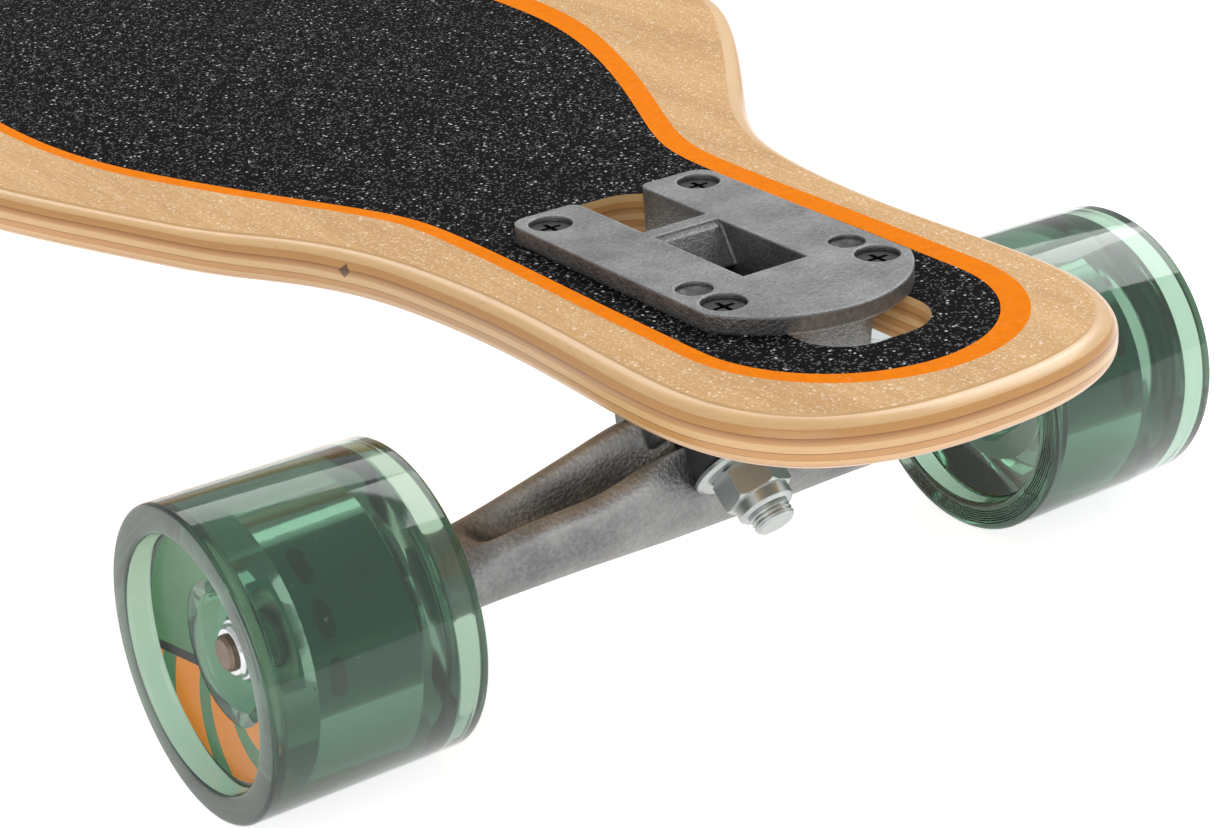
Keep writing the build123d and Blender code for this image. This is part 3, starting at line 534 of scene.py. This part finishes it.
def panel_half_width(x):
    """Half width of the black panel, at a distance from the bolt pattern along the board."""
    points = [
        (60.0, 34.5), (0.0, 34.5), (-48.0, 34.6), (-63.7, 36.2), (-83.7, 43.5), (-103.7, 52.8),
        (-123.7, 61.5), (-143.7, 69.0), (-163.7, 74.5), (-183.7, 77.3), (-213.7, 78.0),
        (-424.5, 78.0),
    ]
    curve = clamped_curve(points, (-1, 0), (-1, 0), 500)
    return np.interp(-x, -curve[:, 0], curve[:, 1])


def panel_loop(loop, wider=0.0, shift=0.0):
    """The print's outline, one point for each point of the deck's outline."""
    x = np.abs(loop[:, 0]) - PATTERN_X
    y = np.abs(loop[:, 1])
    angle = np.arctan2(y, x - PANEL_END_X)
    radius = PANEL_END_RADIUS + wider
    round_end = x > PANEL_END_X
    made_x = np.where(round_end, PANEL_END_X + radius * np.cos(angle), x)
    made_y = np.where(round_end, radius * np.sin(angle), panel_half_width(x) + wider)
    made_x = np.sign(loop[:, 0]) * (made_x + PATTERN_X)
    return np.column_stack([made_x, np.sign(loop[:, 1]) * made_y + shift])


def cutter(name, outline, material):
    """Upright prism through the deck."""
    low = [(x, y, DECK_TOP - 40) for x, y in outline]
    high = [(x, y, DECK_TOP + 40) for x, y in outline]
    count = len(outline)
    faces = [tuple(range(count))[::-1], tuple(range(count, 2 * count))]
    faces += [(k, (k + 1) % count, count + (k + 1) % count, count + k) for k in range(count)]
    return add_mesh(name, low + high, faces, material)


def slot_points():
    """Rounded slot about its own middle."""
    points = []
    for sx, sy, start in ((1, 1, 0), (-1, 1, 90), (-1, -1, 180), (1, -1, 270)):
        centre = (sx * (SLOT_HALF_LENGTH - SLOT_CORNER), sy * (SLOT_HALF_WIDTH - SLOT_CORNER))
        points += arc(centre, SLOT_CORNER, start, start + 90, 10)
    return points


EDGE, WOOD, ORANGE, UNDER, BLACK = range(5)
DECK_MATERIALS = [PLY_EDGE, GRIT_WOOD, GRIT_ORANGE, UNDERSIDE, GRIT_BLACK]


def deck_rings(loop, inward):
    """Rings of (outline, height over the wood's top, material of the faces that lead to it),
    from the middle of the underside round the edge to the middle of the top."""
    quarter = [(1 - math.cos(a), math.sin(a)) for a in np.linspace(0, math.pi / 2, 8)]
    rings = []
    for step, (over, up) in enumerate(reversed(quarter)):
        height = -DECK_THICKNESS + EDGE_ROUND * (1 - up)
        rings.append((loop + inward * EDGE_ROUND * over, height, EDGE if step else UNDER))
    for over, up in quarter:
        rings.append((loop + inward * EDGE_ROUND * over, -EDGE_ROUND * (1 - up), EDGE))
    outer = loop + inward * (EDGE_ROUND + GRIT_SLOPE)
    rings.append((outer, GRIT, EDGE))
    stripe = panel_loop(loop, STRIPE_WIDTH, STRIPE_SHIFT)
    panel = panel_loop(loop)
    for share in np.linspace(0, 1, 11)[1:]:
        rings.append((outer + share * (stripe - outer), GRIT, WOOD))
    rings.append((panel, GRIT, ORANGE))
    centre = panel * (1, 0)
    for share in np.linspace(0, 1, 7)[1:]:
        rings.append((panel + share * (centre - panel), GRIT, BLACK))
    below = loop + inward * EDGE_ROUND
    under = []
    for share in np.linspace(0, 1, 14)[1:]:
        under.append((below + share * (centre - below), -DECK_THICKNESS, UNDER))
    return under[::-1] + rings


def deck_cutters():
    """The drop-through slot and the four screw holes of each truck."""
    cutters = []
    hole = arc((0, 0), SCREW_HOLE_RADIUS, 0, 360, 24)[:-1]
    for _, sign in ENDS:
        middle = sign * (PATTERN_X + SLOT_SHIFT)
        cutters.append(cutter("slot_cut", [(middle + x, y) for x, y in slot_points()], PLY_EDGE))
        for sx in (1, -1):
            for sy in (1, -1):
                hole_x = sign * PATTERN_X + sx * PATTERN_HALF_LENGTH
                hole_y = sy * PATTERN_HALF_WIDTH
                outline = [(hole_x + x, hole_y + y) for x, y in hole]
                cutters.append(cutter("hole_cut", outline, PLY_EDGE))
    return cutters


def build_deck():
    loop, inward = deck_loop()
    rings = deck_rings(loop, inward)
    points = []
    kinds = []
    for plan, height, kind in rings:
        z = rise(plan[:, 1]) + height
        points += list(zip(plan[:, 0], plan[:, 1], z))
        kinds += [kind] * len(loop)
    faces = grid_faces(len(rings), len(loop))
    deck = add_mesh("deck_board", points, faces, DECK_MATERIALS, 30.0, kinds[len(loop):])
    weld(deck)
    cutters = deck_cutters()
    for tool in cutters:
        step = deck.modifiers.new("opening", "BOOLEAN")
        step.operation = "DIFFERENCE"
        step.solver = "EXACT"
        step.object = tool
    bpy.context.view_layer.update()
    finished = deck.evaluated_get(bpy.context.evaluated_depsgraph_get())
    result = bpy.data.meshes.new_from_object(finished)
    deck.modifiers.clear()
    deck.data = result
    for tool in cutters:
        bpy.data.objects.remove(tool)
    deck.data.polygons.foreach_set("use_smooth", [True] * len(deck.data.polygons))
    deck.data.set_sharp_from_angle(angle=math.radians(30.0))
    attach(deck, "board")
    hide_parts("deck_top_ply", "deck_core", "deck_bottom_ply", "grip_coat")


# ------------------------------------------------------------------ hanger
WING = [
    # (distance from the board's centre line, corners round the section as x and z from the axle:
    #  the underside, the front, the ridge, the pocket's floor, the back wall's top and the back)
    (0.0, [(0, -9.6), (7.6, -6.4), (10.5, 1.5), (10.4, 9), (10.6, 15.5), (8, 18), (6, 20),
           (3, 23), (-2, 22.5), (-7, 17), (-9, 6), (-7.5, -6)]),
    (14.0, [(0, -9.6), (7.8, -6.2), (11.2, 1.6), (11.8, 11), (11.4, 17), (8.6, 14), (7.4, 17),
            (4.2, 23.6), (0, 23.2), (-6, 18), (-9, 6), (-7.5, -6)]),
    (22.0, [(0, -9.6), (8, -5.8), (12.4, 3), (14.0, 12.6), (11.2, 16.0), (6.6, 8.0), (4.8, 12),
            (2.6, 21.4), (-1.2, 21.4), (-6, 16), (-9, 6), (-7.5, -6)]),
    (34.0, [(0, -9.5), (7.4, -5.8), (11.4, 2.5), (13.4, 9.6), (10.4, 12.6), (5.6, 5.4), (2.6, 8),
            (0.6, 17.0), (-2.6, 17.4), (-6.2, 12), (-8.9, 4.5), (-7.4, -6)]),
    (48.0, [(0, -9.4), (7, -6), (10, 1.5), (11.6, 8.0), (8.6, 10.6), (4.8, 5.4), (1.4, 6.6),
            (-1.0, 12.4), (-4.0, 12.9), (-6.8, 9), (-8.6, 3.5), (-7.2, -6)]),
    (58.0, [(0, -9.3), (6.8, -6.2), (9.4, 0.5), (10.2, 6.4), (7.4, 9.0), (4.4, 6.2), (1.0, 6.4),
            (-2.0, 9.6), (-4.8, 10.0), (-7.0, 7), (-8.4, 3), (-7, -6)]),
    (64.0, [(0, -9.3), (6.6, -6.5), (9.3, 0.0), (9.2, 4.6), (6.8, 7.6), (4.0, 8.4), (1.0, 8.7),
            (-2.2, 9.3), (-4.8, 8.9), (-7.2, 6), (-8.9, 2), (-7, -6)]),
    (72.0, [(0, -9.3), (6.6, -6.6), (9.3, -0.5), (8.6, 3.6), (6.6, 6.6), (4.0, 8.4), (0.8, 9.3),
            (-2.2, 9.0), (-4.8, 8.0), (-7.6, 5.4), (-9.3, 0), (-6.6, -6.6)]),
    (86.5, [(0, -9.2), (6.5, -6.5), (9.2, -0.5), (8.5, 3.5), (6.5, 6.5), (4.0, 8.3), (0.8, 9.2),
            (-2.2, 8.9), (-4.8, 7.9), (-7.5, 5.3), (-9.2, 0), (-6.5, -6.5)]),
]


# (share of the last section, distance from the centre line): the wing's rounded end face
WING_END = [(0.97, 88.6), (0.90, 89.6), (0.80, 90.0), (0.45, 90.0)]
CORNER_PULL = 0.42              # 0.5 is a free curve; less is tighter


def round_section(corners, steps):
    """Closed smooth curve near a ring of corners, drawn a little tighter than a free curve."""
    p = np.array(corners, float)
    n = len(p)
    out = []
    for i in range(n):
        a, b, c, d = p[i - 1], p[i], p[(i + 1) % n], p[(i + 2) % n]
        for k in range(steps):
            u = k / steps
            m1 = CORNER_PULL * (c - a)
            m2 = CORNER_PULL * (d - b)
            out.append((2 * u**3 - 3 * u**2 + 1) * b + (u**3 - 2 * u**2 + u) * m1
                       + (3 * u**2 - 2 * u**3) * c + (u**3 - u**2) * m2)
    return np.array(out)


def wing_mesh(sign, steps=5, stations=58):
    """One wing of the hanger, from the middle out to the wheel."""
    ys = np.array([y for y, _ in WING])
    rings = np.array([round_section(corners, steps) for _, corners in WING])
    slope = np.gradient(rings, ys, axis=0)
    points = []
    for y in np.linspace(0, ys[-1], stations):
        k = min(np.searchsorted(ys, y, side="right") - 1, len(ys) - 2)
        span = ys[k + 1] - ys[k]
        u = (y - ys[k]) / span
        ring = ((2 * u**3 - 3 * u**2 + 1) * rings[k] + (u**3 - 2 * u**2 + u) * span * slope[k]
                + (3 * u**2 - 2 * u**3) * rings[k + 1] + (u**3 - u**2) * span * slope[k + 1])
        points += [(x, sign * y, z) for x, z in ring]
    for shrink, y in WING_END:
        points += [(shrink * x, sign * y, shrink * z) for x, z in rings[-1]]
    return points, grid_faces(stations + len(WING_END), len(rings[0]))


STEER_AXIS = Vector((math.cos(STEER), 0, math.sin(STEER)))
KINGPIN_AXIS = Vector((math.sin(STEER), 0, -math.cos(STEER)))   # towards the road


def truck_place(sign):
    """Middle of the axle; the rear truck is the front one turned end for end."""
    spin = Matrix.Rotation(0 if sign > 0 else math.pi, 4, "Z")
    return Matrix.Translation(Vector((sign * AXLE_X, 0, AXLE_Z)) * MM) @ spin


def at_ring(obj, sign, x_axis, y_axis):
    """Puts an object at the centre of the hanger's ring, with its X and Y along two axes."""
    turn = Matrix((x_axis, y_axis, x_axis.cross(y_axis))).transposed().to_4x4()
    centre = Matrix.Translation(Vector((RING_X, 0, RING_Z)) * MM)
    obj.matrix_world = truck_place(sign) @ centre @ turn
    return obj


def on_kingpin(obj, sign):
    """Lays the local Y axis along the kingpin, from the ring's centre towards the road."""
    return at_ring(obj, sign, STEER_AXIS, KINGPIN_AXIS)


def join(parts, name):
    """Makes one object of several, in the row frame."""
    mesh = bpy.data.meshes.new(name)
    work = bmesh.new()
    for part in parts:
        part.data.transform(part.matrix_world)
        work.from_mesh(part.data)
    work.to_mesh(mesh)
    work.free()
    for item in parts[0].data.materials:
        mesh.materials.append(item)
    for part in parts:
        bpy.data.objects.remove(part)
    mesh.set_sharp_from_angle(angle=math.radians(38.0))
    made = bpy.data.objects.new(name, mesh)
    bpy.context.scene.collection.objects.link(made)
    return made


def build_hanger(end, sign):
    parts = []
    for side in (1, -1):
        points, faces = wing_mesh(side)
        wing = add_mesh("wing", points, faces, HANGER_CAST, 60.0)
        weld(wing, 0.001)
        wing.matrix_world = truck_place(sign)
        parts.append(wing)
    ring = [(12.6, -3.5), (13.2, -6.2)] + arc((16.3, -5.3), 1.2, 270, 360, 4)
    ring += arc((16.3, 5.3), 1.2, 0, 90, 4) + [(13.2, 6.2), (12.6, 3.5), (8.0, 3.5), (8.0, -3.5)]
    parts.append(on_kingpin(lathe("ring", ring, HANGER_CAST), sign))
    made = join(parts, end + "_hanger_casting")
    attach(made, end + "_hanger_set")
    nose_profile = [(0.01, 14), (9.0, 14), (7.8, 20), (5.0, 29), (5.0, 32)]
    nose_profile += arc((0.01, 32), 4.95, 0, 88, 5)
    nose = lathe(end + "_pivot_nose", nose_profile, HANGER_CAST, 48, closed=False)
    at_ring(nose, sign, Vector((0, 1, 0)), -STEER_AXIS)
    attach(nose, end + "_hanger_set")
    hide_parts(end + "_hanger")


# ------------------------------------------------------------------ kingpin hardware
def build_bushings(end, sign):
    """Both bushings, between the board and the hanger."""
    shapes = {
        "boardside": [(4.9, -18.0), (11.0, -18.0), (11.7, -17.4), (12.0, -16.4), (12.0, -5.0),
                      (11.7, -4.0), (11.0, -3.5), (4.9, -3.5)],
        "roadside": [(4.9, 3.5), (11.0, 3.5), (11.7, 4.0), (12.0, 5.2), (11.9, 7.2), (10.3, 15.6),
                     (9.7, 16.7), (9.0, 17.0), (4.9, 17.0)],
    }
    for name, profile in shapes.items():
        made = on_kingpin(lathe(end + "_" + name + "_bush", profile, BUSHING, 64), sign)
        bodies = ("board", end + "_hanger_set")
        if name == "roadside":
            bodies = bodies[::-1]
        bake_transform(made)
        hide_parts(end + "_" + name + "_bushing")


def build_thread(end, sign):
    """The turns of thread that show past the kingpin's nut."""
    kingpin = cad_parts[end + "_kingpin"]
    truck = truck_place(sign)
    centre = truck @ (Vector((RING_X, 0, RING_Z)) * MM)
    along = truck.to_3x3() @ KINGPIN_AXIS
    corners = [kingpin.matrix_world @ point.co for point in kingpin.data.vertices]
    low = max((corner - centre).dot(along) for corner in corners) / MM - THREAD_SHOWN
    high = low + THREAD_TURNS * THREAD_PITCH
    profile = [(4.5, low)]
    for k in range(THREAD_TURNS):
        start = low + k * THREAD_PITCH
        profile += [(THREAD_ROOT, start), (THREAD_CREST, start + THREAD_PITCH / 2)]
    profile += [(THREAD_ROOT, high), (4.5, high)]
    thread = on_kingpin(lathe(end + "_kingpin_thread", profile, ZINC, 64), sign)
    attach(thread, "board")


# ------------------------------------------------------------------ wheel
BUBBLES = [
    # (degrees round the wheel, distance from its axis, distance outboard, radius)
    (135.0, 32.2, 12.0, 0.40), (150.0, 31.8, 8.0, 0.50), (166.0, 32.4, 4.0, 0.55),
    (146.0, 31.6, -12.0, 0.60), (120.0, 31.0, 2.0, 0.30), (172.0, 31.4, 14.0, 0.30),
]


def tyre_side(sign, ridges=0):
    """(radius, height) points of one face of the tyre, from the core's mouth to the tread."""
    points = [(CORE_MOUTH, CORE_OUTER_END), (CORE_MOUTH, 14.6)]
    points += arc((14.1, 15.4), 1.5, 180, 120, 4)
    points += [(16.0, 17.3), (27.3, 19.95), (27.75, 20.3), (28.0, 21.2), (28.25, 24.4)]
    points += arc((29.35, 24.4), 1.1, 180, 90, 6)
    for k in range(ridges):
        start = RIDGE_START + k * RIDGE_PITCH
        points += [
            (start, WHEEL_HALF_WIDTH),
            (start + RIDGE_PITCH / 3, WHEEL_HALF_WIDTH - RIDGE_HEIGHT),
            (start + 2 * RIDGE_PITCH / 3, WHEEL_HALF_WIDTH),
        ]
    points += arc((33.9, 24.4), 1.1, 90, 0, 6)
    return [(radius, sign * height) for radius, height in points]


def bubbles(phase):
    """Air bubbles left in the cast urethane, turned round the wheel by phase degrees.

    They are small balls whose faces point inward.
    """
    rows = 9
    columns = 14
    points = []
    faces = []
    for angle, out, height, radius in BUBBLES:
        turned = math.radians(angle + phase)
        centre = (out * math.cos(turned), height, out * math.sin(turned))
        start = len(points)
        for i in range(rows):
            tilt = math.pi * (i + 0.5) / rows
            for j in range(columns):
                around = 2 * math.pi * j / columns
                points.append((
                    centre[0] + radius * math.sin(tilt) * math.cos(around),
                    centre[1] + radius * math.cos(tilt),
                    centre[2] + radius * math.sin(tilt) * math.sin(around),
                ))
        ball = grid_faces(rows, columns) + [
            tuple(range(columns))[::-1],
            tuple((rows - 1) * columns + j for j in range(columns)),
        ]
        faces += [tuple(start + k for k in face) for face in ball]
    made = add_mesh("bubbles", points, faces, URETHANE, 80.0)
    weld(made, 0.0001)
    made.data.flip_normals()
    return made


def build_wheel(end, sign, side, across):
    name = end + "_" + side
    body = name + "_wheel"
    turn = 0.0 if across > 0 else math.pi
    centre = (sign * AXLE_X, across * WHEEL_Y, AXLE_Z)
    outer = tyre_side(1)
    inner = tyre_side(-1, LIP_RIDGES)
    inner[0] = (CORE_MOUTH, CORE_INNER_END)
    profile = outer + inner[::-1]
    profile += [(CORE_RADIUS, CORE_INNER_END), (CORE_RADIUS, CORE_OUTER_END)]
    solid = place(lathe("solid", profile, URETHANE, 160), *centre, turn)
    drops = place(bubbles(90.0 * (1 - sign) + 45.0 * (across + 1)), *centre, turn)
    tyre = join([solid, drops], name + "_tyre_cast")
    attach(tyre, body)
    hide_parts(name + "_tyre")
    ring = [(16.1, 17.38), (27.2, 19.99), (27.2, 20.03), (16.1, 17.43)]
    mark = place(lathe(name + "_ring_print", ring, RING_PRINT, 160), *centre, turn)
    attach(mark, body)


# ------------------------------------------------------------------ finish of the CAD pieces
def paint(node, material):
    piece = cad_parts[node]
    piece.data.materials.clear()
    piece.data.materials.append(material)


def build_truck(end, sign):
    build_hanger(end, sign)
    build_bushings(end, sign)
    build_thread(end, sign)
    finishes = {
        "baseplate": BASE_CAST, "pivot_cup": BUSHING, "kingpin": ZINC, "kingpin_nut": ZINC,
        "boardside_washer": ZINC, "roadside_washer": ZINC, "axle": AXLE_STEEL,
        "mounting_bolts": BLACK_STEEL, "mounting_nuts": ZINC,
    }
    for piece, material in finishes.items():
        paint(end + "_" + piece, material)
    for side, across in SIDES:
        build_wheel(end, sign, side, across)
        small = {
            "core": HUB, "bearing_outer_rings": SHIELD, "bearing_balls": BRIGHT,
            "bearing_inner_rings": SHIELD, "spacer": ZINC, "speed_washers": ZINC,
            "axle_nut": BRIGHT,
        }
        for piece, material in small.items():
            paint(end + "_" + side + "_" + piece, material)


# ------------------------------------------------------------------ studio
def area_light(name, place_at, target, size, power):
    data = bpy.data.lights.new(name, "AREA")
    data.shape = "RECTANGLE"
    data.size, data.size_y = size
    data.energy = power
    made = bpy.data.objects.new(name, data)
    bpy.context.scene.collection.objects.link(made)
    made.location = place_at
    made.rotation_euler = (Vector(target) - Vector(place_at)).to_track_quat("-Z", "Y").to_euler()
    return made


def build_studio():
    corners = [(sx * FLOOR_HALF, sy * FLOOR_HALF, 0) for sx, sy in ((-1, -1), (1, -1), (1, 1), (-1, 1))]
    mesh = bpy.data.meshes.new("floor")
    mesh.from_pydata(corners, [], [(0, 1, 2, 3)])
    mesh.materials.append(pale_floor())
    floor = bpy.data.objects.new("floor", mesh)
    bpy.context.scene.collection.objects.link(floor)
    world = bpy.data.worlds.new("studio")
    bpy.context.scene.world = world
    world.use_nodes = True
    background = world.node_tree.nodes["Background"]
    background.inputs["Color"].default_value = (1.0, 1.0, 1.0, 1.0)
    background.inputs["Strength"].default_value = 0.62
    target = (0.38, 0.0, 0.07)
    area_light("key", (0.3, 1.1, 1.3), target, (1.2, 0.8), 13.0)
    area_light("fill", (1.4, -1.2, 0.9), target, (1.4, 1.0), 6.0)
    area_light("back", (-0.6, 0.8, 1.2), target, (1.6, 0.6), 7.0)


def build_camera():
    data = bpy.data.cameras.new("camera")
    camera = bpy.data.objects.new("camera", data)
    bpy.context.scene.collection.objects.link(camera)
    back = Vector(CAMERA_BACK).normalized()
    right = Vector(CAMERA_RIGHT)
    right = (right - right.dot(back) * back).normalized()
    up = back.cross(right)
    turn = Matrix((right, up, back)).transposed().to_4x4()
    camera.matrix_world = Matrix.Translation(CAMERA_AT) @ turn
    data.sensor_width = 36.0
    data.lens = CAMERA_LENS
    data.clip_start = 0.01
    bpy.context.scene.camera = camera
    bpy.context.scene.view_settings.view_transform = "Standard"


build_deck()
for end_name, end_sign in ENDS:
    build_truck(end_name, end_sign)
build_studio()
build_camera()
